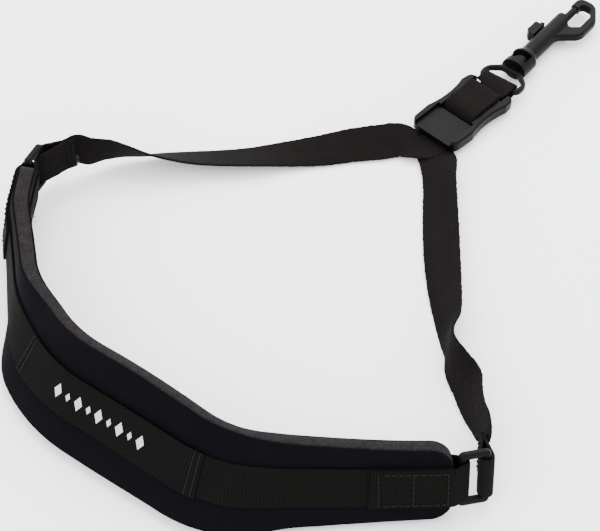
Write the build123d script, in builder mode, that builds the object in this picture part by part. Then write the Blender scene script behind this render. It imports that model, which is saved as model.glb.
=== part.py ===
from build123d import *
from math import cos, pi, radians, sin, sqrt
import os

# Saxophone neck strap, lying closed on a flat surface: a padded neck yoke stands on its
# lower edge in a U, rectangular rings join it to a length of webbing, and the webbing runs
# through a slider to a swivel ring with a snap hook.
# Millimetres. +X to the right, +Y towards the hook, +Z up, and the surface is at Z = 0.

# Webbing
web_width = 19.0
web_thick = 1.3
band_thick = 1.2
bond = 0.05

# Neck pad: foam between two jersey faces
foam_thick = 6.4
jersey_thick = 0.8
pad_thick = foam_thick + 2 * jersey_thick
pad_end_width = 36.0
pad_width_gain = 16.0
pad_corner = 10.0
# Lean from upright in degrees, at distances from the pad's right end
pad_leans = [(0, 20), (65, 23), (97, 37), (130, 34), (205, 34), (240, 15), (320, 9)]
pad_points = [(55, -150), (-43, -154), (-127.2, -94.6), (-142.4, -9.5), (-140.3, 17.9)]
pad_radii = [55, 80, 60]

# Bands and tabs sewn to the pad, as distances from its right end
label_width = 20.5
label_thick = 0.5
label_from, label_to = 104.0, 204.0
right_tab, left_tab, tab_inner = 35.0, 41.0, 26.0

# Webbing rings
ring_bar = 3.4
ring_slot = 7.4
ring_height = 27.0
ring_reach = 3.6
ring_edge = 1.3
right_turn, left_turn, left_tilt = 12.0, 20.0, 7.0
right_fold_turn, left_fold_turn = 75.0, 34.0
wrap_radius = 2.1 + web_thick / 2

# Slider
slider_at = (60.9, 64.9)
slider_angle = 46.0
slider_low, slider_top = 3.4, 9.0
plate_start, plate_end = -3.4, 15.5
saddle_start, saddle_end, horn_end = 21.5, 38.2, 45.0
plate_top, saddle_top = 6.9, 8.2
channel = 2 * 10.2

# Swivel ring and snap hook
hook_at = (97.0, 102.1)
hook_angle = 51.5
hook_height = 6.5
bar_centre = -2.0
loop_radius = 2.45
swivel_thick = 3.4
post_radius, head_radius = 2.5, 4.2
cage_start, cage_tall, cage_wide = 12.0, 6.2, 7.2
window_start, window_end = 15.6, 22.2
barrel_radius, barrel_end = 5.0, 61.8
bore_radius, bore_start = 2.2, 25.5
bolt_radius, bolt_back, bolt_tip = 2.1, 40.0, 73.0
bolt_travel = 7.0
nose_face = 73.3
eye_thick = 4.8
running = 0.1

os.makedirs("parts", exist_ok=True)


def save(piece, label):
    """Names a finished piece and writes it."""
    piece.part.label = label
    export_step(piece.part, f"parts/{label}.step")


# ---------------------------------------------------------------- the pad's own frame

with BuildLine() as pad_route:
    FilletPolyline(*pad_points, radius=pad_radii)
pad_line = pad_route.wires()[0]
pad_length = pad_line.length


def pad_swell(distance):
    """0 at the pad's two ends, 1 at its middle."""
    return sin(pi * distance / pad_length) ** 2


def pad_lean(distance):
    """Lean of the pad in degrees, eased from each listed value to the next."""
    for (start, low), (stop, high) in zip(pad_leans, pad_leans[1:]):
        if distance <= stop:
            share = (distance - start) / (stop - start)
            return low + (high - low) * share * share * (3 - 2 * share)


def pad_width(distance):
    """Width across the pad, with its end corners rounded."""
    width = pad_end_width + pad_width_gain * pad_swell(distance)
    from_end = min(distance, pad_length - distance)
    if from_end < pad_corner:
        width -= 2 * (pad_corner - sqrt(pad_corner**2 - (pad_corner - from_end) ** 2))
    return width


def pad_plane(distance, offset=0.0, up=0.0):
    """Section plane of the pad: X out of its outer face, Y up the leaning face."""
    fraction = distance / pad_length
    lean = radians(pad_lean(distance))
    ahead = pad_line.tangent_at(fraction)
    outward = Vector(-ahead.Y, ahead.X, 0)
    full_width = pad_end_width + pad_width_gain * pad_swell(distance)
    height = full_width / 2 * cos(lean) + pad_thick / 2 * sin(lean)
    face_out = outward * cos(lean) + Vector(0, 0, sin(lean))
    face_up = outward * -sin(lean) + Vector(0, 0, cos(lean))
    centre = pad_line.position_at(fraction) + Vector(0, 0, height)
    return Plane(centre + face_out * offset + face_up * up, x_dir=face_out, z_dir=ahead)


def stations(start, end):
    """Distances along the pad at which its layers share a section."""
    steps = 36
    spread = {pad_length * i / steps for i in range(1, steps)}
    for near in (0.0, 0.7, 2.0, 4.0, 6.5, pad_corner, tab_inner, right_tab, left_tab):
        spread |= {near, pad_length - near}
    spread |= {label_from, label_to}
    return [d for d in sorted(spread) if start - 1e-6 <= d <= end + 1e-6]


def pad_layer(inner, outer, inset):
    """A full-width layer of the pad between two offsets from its middle surface."""
    with BuildPart() as layer:
        for distance in stations(0, pad_length):
            with BuildSketch(pad_plane(distance, (inner + outer) / 2)):
                Rectangle(outer - inner, pad_width(distance) - 2 * inset)
        loft(ruled=True)
    return layer


def ribbon(planes, thickness, width):
    """A strip of webbing through section planes, X across its thickness."""
    with BuildPart() as strip:
        for plane in planes:
            with BuildSketch(plane):
                Rectangle(thickness, width)
        loft(ruled=True)
    return strip


def heading_frame(base, along, rise, heading):
    """Section plane at a point of a base plane, looking along a heading in degrees."""
    ahead = base.x_dir * cos(radians(heading)) + base.y_dir * sin(radians(heading))
    return Plane(
        base.from_local_coords(Vector(along, rise)),
        x_dir=ahead.cross(base.z_dir) * -1,
        z_dir=ahead,
    )


def wrap(centre, radius, start, stop):
    """Clockwise stations round a bar at (centre, 0), as (along, rise, heading)."""
    steps = max(4, round(abs(start - stop) / 20))
    turns = [start + (stop - start) * i / steps for i in range(steps + 1)]
    return [
        (centre + radius * cos(radians(t)), radius * sin(radians(t)), t - 90)
        for t in turns
    ]


# ------------------------------------------------------------------------ neck pad

foam_face = foam_thick / 2
pad_face = pad_thick / 2
save(pad_layer(-foam_face, foam_face, 0.0), "pad_foam")
save(pad_layer(foam_face + bond, pad_face, 0.5), "pad_outer_jersey")
save(pad_layer(-pad_face, -foam_face - bond, 0.5), "pad_inner_jersey")

band_low = pad_face + bond
band_high = band_low + band_thick
band_mid = (band_low + band_high) / 2
band_stations = stations(0.7, pad_length - 0.7)
spine = ribbon([pad_plane(d, band_mid) for d in band_stations], band_thick, web_width)
save(spine, "spine_band")

label_mid = band_high + bond + label_thick / 2
label_planes = [pad_plane(d, label_mid) for d in stations(label_from, label_to)]
save(ribbon(label_planes, label_thick, label_width), "label_band")


# ------------------------------------------------------- anchor webbing at both ends

tab_out = band_high + bond + band_thick / 2
tab_in = pad_face + bond + band_thick / 2


def end_base(right):
    """Plane across one end of the pad: X away from the pad, Y out of its outer face."""
    end = pad_plane(0.0 if right else pad_length)
    away = end.z_dir * (-1 if right else 1)
    return Plane(end.origin, x_dir=away, z_dir=away.cross(end.x_dir))


def tab_planes(right, length, offset, outer):
    """Section planes of a tab on the pad, ordered away from the pad on the outer face."""
    planes = []
    for distance in reversed(stations(0, length)):
        here = pad_plane(distance if right else pad_length - distance, offset)
        away = here.z_dir * (-1 if right else 1)
        side = 1 if outer else -1
        planes.append(Plane(here.origin, x_dir=here.x_dir * side, z_dir=away * side))
    return planes if outer else planes[::-1]


def tilted(base, degrees):
    """A frame turned about its own X."""
    tilt = radians(degrees)
    return Plane(base.origin, x_dir=base.x_dir, z_dir=base.z_dir * cos(tilt) + base.y_dir * sin(tilt))


def bar_base(right):
    """Frame of a ring's near bar: X away from the pad, Z along the bar."""
    base = end_base(right)
    centre = base.origin + base.x_dir * ring_reach
    return tilted(Plane(centre, x_dir=base.x_dir, z_dir=base.z_dir), 0 if right else left_tilt)


def anchor(right):
    """Webbing that holds one ring: sewn outside the pad, round the bar, sewn inside."""
    bend = wrap(0, wrap_radius, 70, -70)
    loop = [heading_frame(bar_base(right), *spot) for spot in bend]
    outside = tab_planes(right, right_tab if right else left_tab, tab_out, True)
    inside = tab_planes(right, tab_inner, -tab_in, False)
    return ribbon(outside + loop + inside, band_thick, web_width)


save(anchor(True), "right_anchor_webbing")
save(anchor(False), "left_anchor_webbing")


stitch_long, stitch_wide, stitch_high = 2.2, 0.6, 0.25
stitch_pitch = 3.0
box_from, box_to, box_half = 3.0, 30.0, 7.5
thread_low = bond + stitch_high / 2


def stitching(planes, label):
    """Separate stitches on section planes whose X leaves the cloth, along their Z."""
    with BuildPart() as thread:
        with BuildSketch(*planes):
            Rectangle(stitch_high, stitch_wide)
        extrude(amount=stitch_long / 2, both=True)
    save(thread, label)


def turned(plane, side_on):
    """The same plane for a stitch that runs across the strip."""
    return Plane(plane.origin, x_dir=plane.x_dir, z_dir=plane.y_dir) if side_on else plane


def steps(start, end):
    """Evenly spaced stitch centres between two limits."""
    count = max(1, round((end - start) / stitch_pitch))
    return [start + (end - start) * (i + 0.5) / count for i in range(count)]


def anchor_stitches(right):
    """Box stitch with a cross row in its middle, on a tab's outer face."""
    top = tab_out + band_thick / 2 + thread_low
    middle = (box_from + box_to) / 2
    spots = [(d, side * box_half, False) for d in steps(box_from, box_to) for side in (-1, 1)]
    rows = (box_from, middle, box_to)
    spots += [(d, up, True) for d in rows for up in steps(1 - box_half, box_half - 1)]
    return [
        turned(pad_plane(d if right else pad_length - d, top, up), side_on)
        for d, up, side_on in spots
    ]


stitching(anchor_stitches(True), "right_anchor_stitching")
stitching(anchor_stitches(False), "left_anchor_stitching")

label_top = label_mid + label_thick / 2 + thread_low
label_rows = (label_from + 1.5, label_from + 3.5, label_to - 3.5, label_to - 1.5)
label_spots = [(d, up) for d in label_rows for up in steps(-9.5, 9.5)]
stitching([turned(pad_plane(d, label_top, up), True) for d, up in label_spots], "label_stitching")


# ------------------------------------------------------------------- webbing rings


def turned_in(base, degrees, ahead=0.0):
    """A frame turned about its Z towards the inside, then moved along its own X."""
    turn = radians(-degrees)
    along = base.x_dir * cos(turn) + base.y_dir * sin(turn)
    return Plane(base.origin + base.x_dir * ahead, x_dir=along, z_dir=base.z_dir)


def ring_base(right):
    """Frame of a ring: origin on the axis of its near bar, X towards its far bar."""
    return turned_in(bar_base(right), right_turn if right else left_turn)


def fold_base(right):
    """Frame of the webbing at a ring's far bar: X along the webbing as it leaves."""
    turn = right_fold_turn if right else left_fold_turn
    return turned_in(ring_base(right), turn, ring_slot + ring_bar)


def ring(right):
    """Rectangular ring with rounded bars, its slot between the near and the far bar."""
    base = ring_base(right)
    flat = Plane(base.origin, x_dir=base.x_dir, z_dir=base.y_dir)
    span = ring_slot + 2 * ring_bar
    with BuildPart() as frame:
        with BuildSketch(flat):
            with Locations(((ring_slot + ring_bar) / 2, 0)):
                RectangleRounded(span, ring_height, 2.4)
                Rectangle(ring_slot, ring_height - 2 * ring_bar, mode=Mode.SUBTRACT)
        extrude(amount=ring_bar / 2, both=True)
        sides = frame.faces().filter_by(Axis(flat.origin, flat.z_dir))
        fillet(sides.edges(), ring_edge)
    return frame


save(ring(True), "right_ring")
save(ring(False), "left_ring")

fold_route = [(18, -1.1, 180), (12, -1.1, 180), (6.7, -2.1, 187), (2.7, -2.7, 184)]
fold_route += wrap(0, wrap_radius, -95, -265)
fold_route += [(2.7, 2.7, -4), (6.7, 1.9, -8), (12.2, 0.6, -4), (20, 0.5, 0)]

right_planes = [heading_frame(fold_base(True), *spot) for spot in fold_route]
left_planes = [heading_frame(fold_base(False), *spot) for spot in fold_route]
save(ribbon(right_planes, web_thick, web_width), "right_fold_webbing")
save(ribbon(left_planes, web_thick, web_width), "left_fold_webbing")


def fold_stitches(plane, rows):
    """Rows of stitches across a fold, on the face that X points out of."""
    rise = web_thick / 2 + thread_low
    spots = [(row, up) for row in rows for up in steps(-8.5, 8.5)]
    centres = [
        plane.origin + plane.x_dir * rise + plane.z_dir * row + plane.y_dir * up
        for row, up in spots
    ]
    return [Plane(spot, x_dir=plane.x_dir, z_dir=plane.y_dir) for spot in centres]


stitching(fold_stitches(right_planes[0], (1.5, 4.0)), "right_fold_stitching")
stitching(fold_stitches(left_planes[0], (1.5, 4.0)), "left_fold_stitching")


# ------------------------------------------------------------------- webbing legs

# Each station is X, Y, Z and the roll of the strip about its own heading, where 0 lies
# flat and 90 stands on edge.
left_stations = [
    (-113, 42.5, 15.5, 94),
    (-105, 45, 14, 105),
    (-96, 46, 12, 118),
    (-86, 46, 9.5, 131),
    (-76, 46.5, 7.8, 142),
    (-64, 47, 6.2, 151),
    (-47, 48, 5, 157),
    (-31, 49.5, 4.4, 163),
    (-14, 53, 2.8, 175),
    (3, 55.4, 3, 188),
    (18, 57.8, 4.2, 197),
    (33, 59.2, 5.2, 203),
    (41.5, 61, 4.8, 200),
]
right_stations = [
    (70.2, -123.5, 15.8, 100),
    (68.6, -115.5, 13.8, 104),
    (66.9, -105.5, 11.2, 115),
    (65.5, -93.5, 9, 127),
    (61.6, -84, 9, 116),
    (59, -74.5, 9.8, 97),
    (59.8, -60, 8.2, 119),
    (59.3, -38.5, 6.9, 139),
    (59.2, -19.5, 5.7, 150),
    (59.6, -2, 5.3, 153),
    (60.2, 16.5, 5.8, 149),
    (60.8, 31.5, 6.4, 146),
    (61.3, 43.5, 5.4, 156),
]


def leg_planes(spots):
    """Section planes along a leg from its stations."""
    planes = []
    for i, (x, y, z, roll) in enumerate(spots):
        before, after = spots[max(i - 1, 0)], spots[min(i + 1, len(spots) - 1)]
        ahead = (Vector(*after[:3]) - Vector(*before[:3])).normalized()
        level = Vector(0, 0, 1).cross(ahead).normalized()
        upright = ahead.cross(level)
        across = level * cos(radians(roll)) + upright * sin(radians(roll))
        planes.append(Plane((x, y, z), x_dir=across.cross(ahead), z_dir=ahead))
    return planes


save(ribbon(leg_planes(left_stations), web_thick, web_width), "left_leg_webbing")
save(ribbon(leg_planes(right_stations), web_thick, web_width), "right_leg_webbing")


# ------------------------------------------------------------------------- slider

slider_ahead = Vector(cos(radians(slider_angle)), sin(radians(slider_angle)), 0)
slider_plane = Plane((*slider_at, 0), x_dir=slider_ahead, z_dir=(0, 0, 1))
slider_side = Plane((*slider_at, 0), x_dir=slider_ahead, z_dir=slider_plane.y_dir * -1)
half_wide, half_waist, notch = 15.2, 13.4, channel / 2


with BuildPart() as slider:
    with BuildSketch(slider_plane.offset(slider_low)):
        with BuildLine():
            left_edge = FilletPolyline(
                (plate_start, 0), (plate_start, half_wide - 0.6), (11, half_wide), radius=[5]
            )
            waist = ThreePointArc(left_edge @ 1, (25, half_waist), (38, half_wide))
            horn = FilletPolyline(
                waist @ 1, (horn_end, half_wide - 0.8), (horn_end, notch), radius=[3.5]
            )
            Polyline(horn @ 1, (saddle_end, notch), (saddle_end, 0), (plate_start, 0))
        make_face()
        mirror(about=Plane.XZ)
    extrude(amount=slider_top - slider_low)
    chamfer(slider.faces().sort_by(Axis.Z)[-1].edges(), 0.9)
    with BuildSketch(slider_plane.offset(slider_low)):
        with Locations(((plate_end + saddle_start) / 2, 0)):
            Rectangle(saddle_start - plate_end, channel)
    extrude(amount=slider_top, mode=Mode.SUBTRACT)
    with BuildSketch(slider_plane.offset(plate_top)):
        with Locations((plate_end / 2 - 5, 0)):
            Rectangle(plate_end + 10, channel + 3)
    extrude(amount=slider_top, mode=Mode.SUBTRACT)
    with BuildSketch(slider_plane.offset(saddle_top)):
        with Locations(((saddle_start + saddle_end) / 2, 0)):
            Rectangle(saddle_end - saddle_start, channel)
    extrude(amount=slider_top, mode=Mode.SUBTRACT)
save(slider, "slider_frame")

# Both layers of webbing pass under the plate, up the window, over the saddle and down.
under_plate = 0.4 + web_thick
layer_step = (web_thick + bond) / 2
bend = 3.2


def threaded(offset):
    """Stations of one webbing layer through the slider, offset from the pair's middle."""
    rise, down = bend - offset, bend + offset
    low = 0.4 + web_thick + bond / 2
    foot = [(-4, low + offset, 0), (6, low + offset, 0)]
    up_centre = (plate_end - 0.2, low + bend)
    for turn in (0, 30, 60, 90):
        a = radians(turn)
        foot.append((up_centre[0] + rise * sin(a), up_centre[1] - rise * cos(a), turn))
    over_centre = (saddle_start + 0.2, saddle_top - 1.6)
    for turn in (90, 60, 30, 0):
        a = radians(turn)
        foot.append((over_centre[0] - down * sin(a), over_centre[1] + down * cos(a), turn))
    for turn in (0, -20, -40, -55):
        a = radians(turn)
        foot.append((saddle_end - 0.2 - down * sin(a), over_centre[1] + down * cos(a), turn))
    return foot


for layer_name, layer_offset in (("upper", layer_step), ("lower", -layer_step)):
    spots = [heading_frame(slider_side, *spot) for spot in threaded(layer_offset)]
    save(ribbon(spots, web_thick, web_width), f"slider_{layer_name}_webbing")


# ------------------------------------------------------------- swivel ring and loop

hook_ahead = Vector(cos(radians(hook_angle)), sin(radians(hook_angle)), 0)
hook_plane = Plane((*hook_at, hook_height), x_dir=hook_ahead, z_dir=(0, 0, 1))
hook_side = Plane(hook_plane.origin, x_dir=hook_ahead, z_dir=hook_plane.y_dir * -1)


def across_hook(distance):
    """Plane square to the hook's axis at a distance along it."""
    return Plane(hook_plane.origin + hook_ahead * distance, x_dir=(0, 0, 1), z_dir=hook_ahead)


with BuildPart() as swivel_ring:
    with BuildSketch(hook_plane):
        with BuildLine():
            rim = FilletPolyline(
                (-3.8, 0), (-3.8, 12.7), (5, 12.7), (11.4, 5.5), (11.4, 0), radius=[4.5, 6, 3]
            )
            Line(rim @ 1, rim @ 0)
        make_face()
        with BuildLine():
            gap = FilletPolyline(
                (-0.2, 0), (-0.2, 10.2), (4.5, 10.2), (8.4, 5), (8.4, 0), radius=[1, 2.5, 2.5]
            )
            Line(gap @ 1, gap @ 0)
        make_face(mode=Mode.SUBTRACT)
        mirror(about=Plane.XZ)
    extrude(amount=swivel_thick / 2, both=True)
    long_edges = swivel_ring.edges().filter_by_position(
        Axis.Z, hook_height - swivel_thick / 2 - 0.01, hook_height + swivel_thick / 2 + 0.01
    )
    fillet(long_edges.filter_by(lambda e: abs(e.center().Z - hook_height) > 1), 0.9)
    with BuildSketch(across_hook(10.6)):
        Circle(post_radius)
    extrude(amount=window_start + 0.6 - 10.6)
    with BuildSketch(across_hook(window_start + 0.4)):
        Circle(head_radius)
    extrude(amount=4.2)
save(swivel_ring, "swivel_ring")

loop_spots = [(-6.6, 3.0, 0), (-4.5, 3.1, 0)]
loop_spots += wrap(bar_centre, loop_radius + web_thick / 2, 90, -90)
loop_spots += [(-4.5, -3.1, 180), (-6.6, -3.0, 180)]
loop_frames = [heading_frame(hook_side, *spot) for spot in loop_spots]
save(ribbon(loop_frames, web_thick, web_width), "hook_loop_webbing")


# ------------------------------------------------------------------------ snap hook

with BuildPart() as hook_body:
    with BuildSketch(hook_plane):
        with BuildLine():
            outer = FilletPolyline(
                (42, 2.6),
                (42, -4.9),
                (47, -4.9),
                (55, -15.2),
                (70, -15.2),
                (81.8, -8),
                (81.8, 2.6),
                (60, 2.6),
                radius=[0.5, 6, 8, 8, 7, 4],
            )
            Line(outer @ 1, outer @ 0)
        make_face()
    extrude(amount=eye_thick / 2, both=True)
    rim_edges = hook_body.edges().filter_by(lambda e: abs(e.center().Z - hook_height) > 2)
    fillet(rim_edges, 1.4)
    with BuildSketch(across_hook(cage_start)):
        Ellipse(cage_tall, cage_wide)
    extrude(amount=23 - cage_start)
    with BuildSketch(across_hook(23)):
        Ellipse(cage_tall, cage_wide)
    with BuildSketch(across_hook(26.5)):
        Circle(barrel_radius)
    loft()
    with BuildSketch(across_hook(26.5)):
        Circle(barrel_radius)
    extrude(amount=barrel_end - 26.5)
    # the eye's opening, and the gap that the bolt closes
    with BuildSketch(hook_plane):
        with BuildLine():
            FilletPolyline(
                (61.5, -1.9),
                (77.6, -1.9),
                (77.4, -7.5),
                (71, -10.9),
                (60.5, -10.9),
                (56.4, -6),
                radius=2,
                close=True,
            )
        make_face()
        with Locations(((barrel_end + nose_face) / 2, 0)):
            Rectangle(nose_face - barrel_end, 8)
    extrude(amount=20, both=True, mode=Mode.SUBTRACT)
    # bolt bore, thumb slot, swivel bore and the cage's window
    with BuildSketch(across_hook(bore_start)):
        Circle(bore_radius)
    extrude(amount=barrel_end - bore_start + 5, mode=Mode.SUBTRACT)
    with BuildSketch(hook_plane):
        with Locations(((30.8 + 47.6) / 2, 4)):
            Rectangle(47.6 - 30.8, 8)
    extrude(amount=1.6, both=True, mode=Mode.SUBTRACT)
    with BuildSketch(across_hook(cage_start - 1)):
        Circle(post_radius + running)
    extrude(amount=window_start - cage_start + 2, mode=Mode.SUBTRACT)
    with BuildSketch(across_hook(window_start)):
        Circle(head_radius + 0.3)
        with Locations((cage_tall * 0.9, cage_wide * -0.5)):
            Rectangle(cage_tall * 1.8, 9.2 + cage_wide)
    extrude(amount=window_end - window_start, mode=Mode.SUBTRACT)
save(hook_body, "hook_body")

with BuildPart() as thumb_bolt:
    with BuildSketch(across_hook(bolt_back)):
        Circle(bolt_radius)
    extrude(amount=bolt_tip - bolt_back)
    fillet(thumb_bolt.edges().group_by(Axis(hook_plane.origin, hook_ahead))[-1], 0.5)
    with BuildSketch(hook_plane):
        with Locations((44, 3.6)):
            Rectangle(6, 4.4)
    extrude(amount=1.4, both=True)
    with BuildSketch(hook_plane.offset(-3)):
        with BuildLine():
            Polyline(
                (39.4, 5.4), (39.4, 8.6), (41.2, 10.4), (49, 10.2), (49, 7.4), (50.6, 7.2), (50.6, 5.4), close=True
            )
        make_face()
    extrude(amount=6)
save(thumb_bolt, "thumb_bolt")

with BuildPart() as bolt_spring:
    with BuildSketch(across_hook(bore_start + 0.1)):
        Circle(bore_radius - 0.3)
        Circle(bore_radius - 0.9, mode=Mode.SUBTRACT)
    extrude(amount=bolt_back - bolt_travel - bore_start - 0.3)
save(bolt_spring, "bolt_spring")
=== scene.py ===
"""Saxophone neck strap: padded yoke, webbing legs, slider and swivelling snap hook.

Shapes are worked out in millimetres in the CAD frame and stored in metres.
"""
import logging
import math
from dataclasses import dataclass, field
from enum import Enum
from typing import Any, Sequence

import bpy
import numpy as np
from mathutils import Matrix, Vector


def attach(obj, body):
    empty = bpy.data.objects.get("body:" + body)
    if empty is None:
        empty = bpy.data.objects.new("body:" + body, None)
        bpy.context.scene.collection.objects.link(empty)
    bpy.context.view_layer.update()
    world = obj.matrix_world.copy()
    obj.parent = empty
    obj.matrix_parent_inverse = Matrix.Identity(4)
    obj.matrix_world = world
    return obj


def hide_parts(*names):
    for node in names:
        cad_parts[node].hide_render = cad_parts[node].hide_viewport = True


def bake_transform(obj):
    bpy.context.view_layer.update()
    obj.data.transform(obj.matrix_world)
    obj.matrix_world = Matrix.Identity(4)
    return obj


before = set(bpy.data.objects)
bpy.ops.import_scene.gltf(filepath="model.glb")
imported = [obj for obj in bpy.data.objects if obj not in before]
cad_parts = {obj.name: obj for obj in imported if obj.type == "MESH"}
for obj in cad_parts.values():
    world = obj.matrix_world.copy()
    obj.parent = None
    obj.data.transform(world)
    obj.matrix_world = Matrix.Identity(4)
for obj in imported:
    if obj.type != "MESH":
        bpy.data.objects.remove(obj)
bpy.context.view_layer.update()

log = logging.getLogger("neck_strap")
Array = np.ndarray

MM = 0.001
UP = np.array([0.0, 0.0, 1.0])
CLOTH = "cloth_mm"
SMOOTH_LIMIT = math.radians(38)


# --- mathematics


def unit(vectors: Array) -> Array:
    """Scales each vector to length one."""
    return vectors / np.linalg.norm(vectors, axis=-1, keepdims=True)


def compass(degrees: float) -> Array:
    """Level unit vector at an angle anticlockwise from +X."""
    angle = math.radians(degrees)
    return np.array([math.cos(angle), math.sin(angle), 0.0])


def ripple(distance: Array, pitches: Sequence[float], seed: int) -> Array:
    """Sum of sine waves of given pitches with seeded phases, scaled to stay within one."""
    phases = np.random.default_rng(seed).uniform(0, 2 * np.pi, len(pitches))
    waves = [np.sin(2 * np.pi * distance / p + q) for p, q in zip(pitches, phases)]
    return np.sum(waves, axis=0) / len(pitches)


@dataclass(frozen=True)
class Track:
    """Section frames along a strip: each has an origin, a thickness and a width direction."""

    origin: Array
    thick: Array
    wide: Array
    along: Array

    def place(self, x: Array, y: Array) -> Array:
        """Points at origin + x * thickness direction + y * width direction."""
        return (
            self.origin[:, None]
            + self.thick[:, None] * x[..., None]
            + self.wide[:, None] * y[..., None]
        )

    def cut(self, start: int, stop: int) -> "Track":
        """The frames from start up to, and with, stop."""
        part = slice(start, stop + 1)
        return Track(self.origin[part], self.thick[part], self.wide[part], self.along[part])

    def nearest(self, point: Array) -> int:
        """Index of the frame nearest a point."""
        return int(np.argmin(np.linalg.norm(self.origin - point, axis=1)))


def spline_track(points: Array, wide: Array, step: float) -> Track:
    """Smooth track through stations.

    Each stretch is a cubic that leaves and arrives at the slope that the stations on
    both sides give (a Hermite curve over the chord length). The width direction is
    blended the same way and squared up to the track.

    Args:
        points: station centres in mm.
        wide: width direction at each station.
        step: spacing of the frames in mm.

    Returns:
        The track.
    """
    chord = np.linalg.norm(np.diff(points, axis=0), axis=1)
    knots = np.concatenate([[0.0], np.cumsum(chord)])
    values = np.hstack([points, wide])
    slopes = np.gradient(values, knots, axis=0)
    at = np.linspace(0, knots[-1], max(2, round(knots[-1] / step) + 1))
    left = np.clip(np.searchsorted(knots, at, side="right") - 1, 0, len(chord) - 1)
    span = chord[left][:, None]
    t = ((at - knots[left]) / chord[left])[:, None]
    mixed = (
        (1 + 2 * t) * (1 - t) ** 2 * values[left]
        + t * (1 - t) ** 2 * span * slopes[left]
        + t * t * (3 - 2 * t) * values[left + 1]
        + t * t * (t - 1) * span * slopes[left + 1]
    )
    origin, across = mixed[:, :3], mixed[:, 3:]
    ahead = unit(np.gradient(origin, at, axis=0))
    across = unit(across - np.sum(across * ahead, axis=1, keepdims=True) * ahead)
    return Track(origin, np.cross(across, ahead), across, at)


@dataclass(frozen=True)
class Section:
    """A closed rounded oblong: unit coordinates of its loop of points.

    A point is x = side * (half thickness - corner) + corner * cos,
    y = share * (half width - corner) + corner * sin.
    """

    side: Array
    share: Array
    cos: Array
    sin: Array

    @classmethod
    def of(cls, columns: int, corner_steps: int = 3) -> "Section":
        """Loop with some columns across each face and a few steps round each corner."""
        across = np.linspace(-1, 1, columns)
        parts = []
        for turn, shares in ((0, across), (180, -across)):
            parts.append(np.stack([np.full(columns, turn), shares]))
            corner = np.linspace(turn, turn + 180, 2 * corner_steps + 1)[1:-1]
            corner = np.radians(corner)
            parts.append(np.stack([np.degrees(corner), np.full(len(corner), shares[-1])]))
        angle, share = np.concatenate(parts, axis=1)
        angle = np.radians(angle)
        side = np.where(np.abs(np.cos(angle)) < 1e-6, 0.0, np.sign(np.cos(angle)))
        return cls(side, share, np.cos(angle), np.sin(angle))

    def loop(self, half_thick: Array, half_wide: Array, corner: float) -> tuple[Array, Array]:
        """Section coordinates x and y, each (frames, points), from half sizes by frame."""
        x = self.side * (half_thick[:, None] - corner) + corner * self.cos
        y = self.share * (half_wide[:, None] - corner) + corner * self.sin
        return x, y


# --- meshes


def signed_volume(points: Array, faces: Array) -> float:
    """Volume enclosed by quads: the sum of their cones from the origin, by triangles."""
    a, b, c, d = (points[faces[:, i]] for i in range(4))
    cones = np.sum(a * np.cross(b, c), axis=1) + np.sum(a * np.cross(c, d), axis=1)
    return float(np.sum(cones)) / 6


def make_object(
    name: str, points: Array, faces: list, cloth: Array | None = None
) -> bpy.types.Object:
    """Puts a mesh in the scene.

    Args:
        name: piece name.
        points: vertices in mm.
        faces: vertex indices of each face.
        cloth: for each vertex its place on the flat cloth in mm: across, along, side.

    Returns:
        The new object.
    """
    mesh = bpy.data.meshes.new(name)
    mesh.from_pydata((points * MM).tolist(), [], faces)
    if cloth is not None:
        mesh.attributes.new(CLOTH, "FLOAT_VECTOR", "POINT").data.foreach_set(
            "vector", cloth.astype(np.float32).ravel()
        )
    mesh.shade_smooth()
    mesh.set_sharp_from_angle(angle=SMOOTH_LIMIT)
    mesh.validate()
    piece = bpy.data.objects.new(name, mesh)
    bpy.context.scene.collection.objects.link(piece)
    return piece


def tube_quads(frames: int, count: int) -> Array:
    """Quads between each loop of points and the next."""
    row = np.arange(frames - 1)[:, None] * count
    here = np.arange(count)
    after = (here + 1) % count
    corners = [row + here, row + after, row + count + after, row + count + here]
    return np.stack(corners, -1).reshape(-1, 4)


def loft(name: str, grid: Array, cloth: Array | None = None) -> bpy.types.Object:
    """Closed tube over a grid of loops, one loop a frame, with a face over each end.

    Args:
        name: piece name.
        grid: points as (frames, loop points, 3) in mm.
        cloth: cloth coordinates of the same shape.

    Returns:
        The new object, with faces outward.
    """
    frames, count = grid.shape[:2]
    quads = tube_quads(frames, count)
    points = grid.reshape(-1, 3)
    first = np.arange(count)[::-1]
    last = np.arange(count) + (frames - 1) * count
    if signed_volume(points - points.mean(axis=0), quads) < 0:
        quads, first, last = quads[:, ::-1], first[::-1], last[::-1]
    faces = quads.tolist() + [first.tolist(), last.tolist()]
    return make_object(name, points, faces, None if cloth is None else cloth.reshape(-1, 3))


def scatter(name: str, shape: Array, faces: Array, spots: Array, axes: Array) -> bpy.types.Object:
    """One mesh of many copies of a small shape.

    Each copy's points are spot + sum of shape coordinate times that spot's axis.

    Args:
        name: piece name.
        shape: the small shape's points, (k, 3) in mm.
        faces: its quads.
        spots: where the copies go, (n, 3).
        axes: three directions for each copy, (n, 3, 3).

    Returns:
        The new object.
    """
    points = spots[:, None] + np.einsum("ki,nij->nkj", shape, axes)
    shifted = faces[None] + np.arange(len(spots))[:, None, None] * len(shape)
    cloth = shape[:, [1, 2, 0]] + np.arange(len(spots))[:, None, None] * 3.7
    quads = shifted.reshape(-1, faces.shape[1]).tolist()
    return make_object(name, points.reshape(-1, 3), quads, cloth.reshape(-1, 3))


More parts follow.
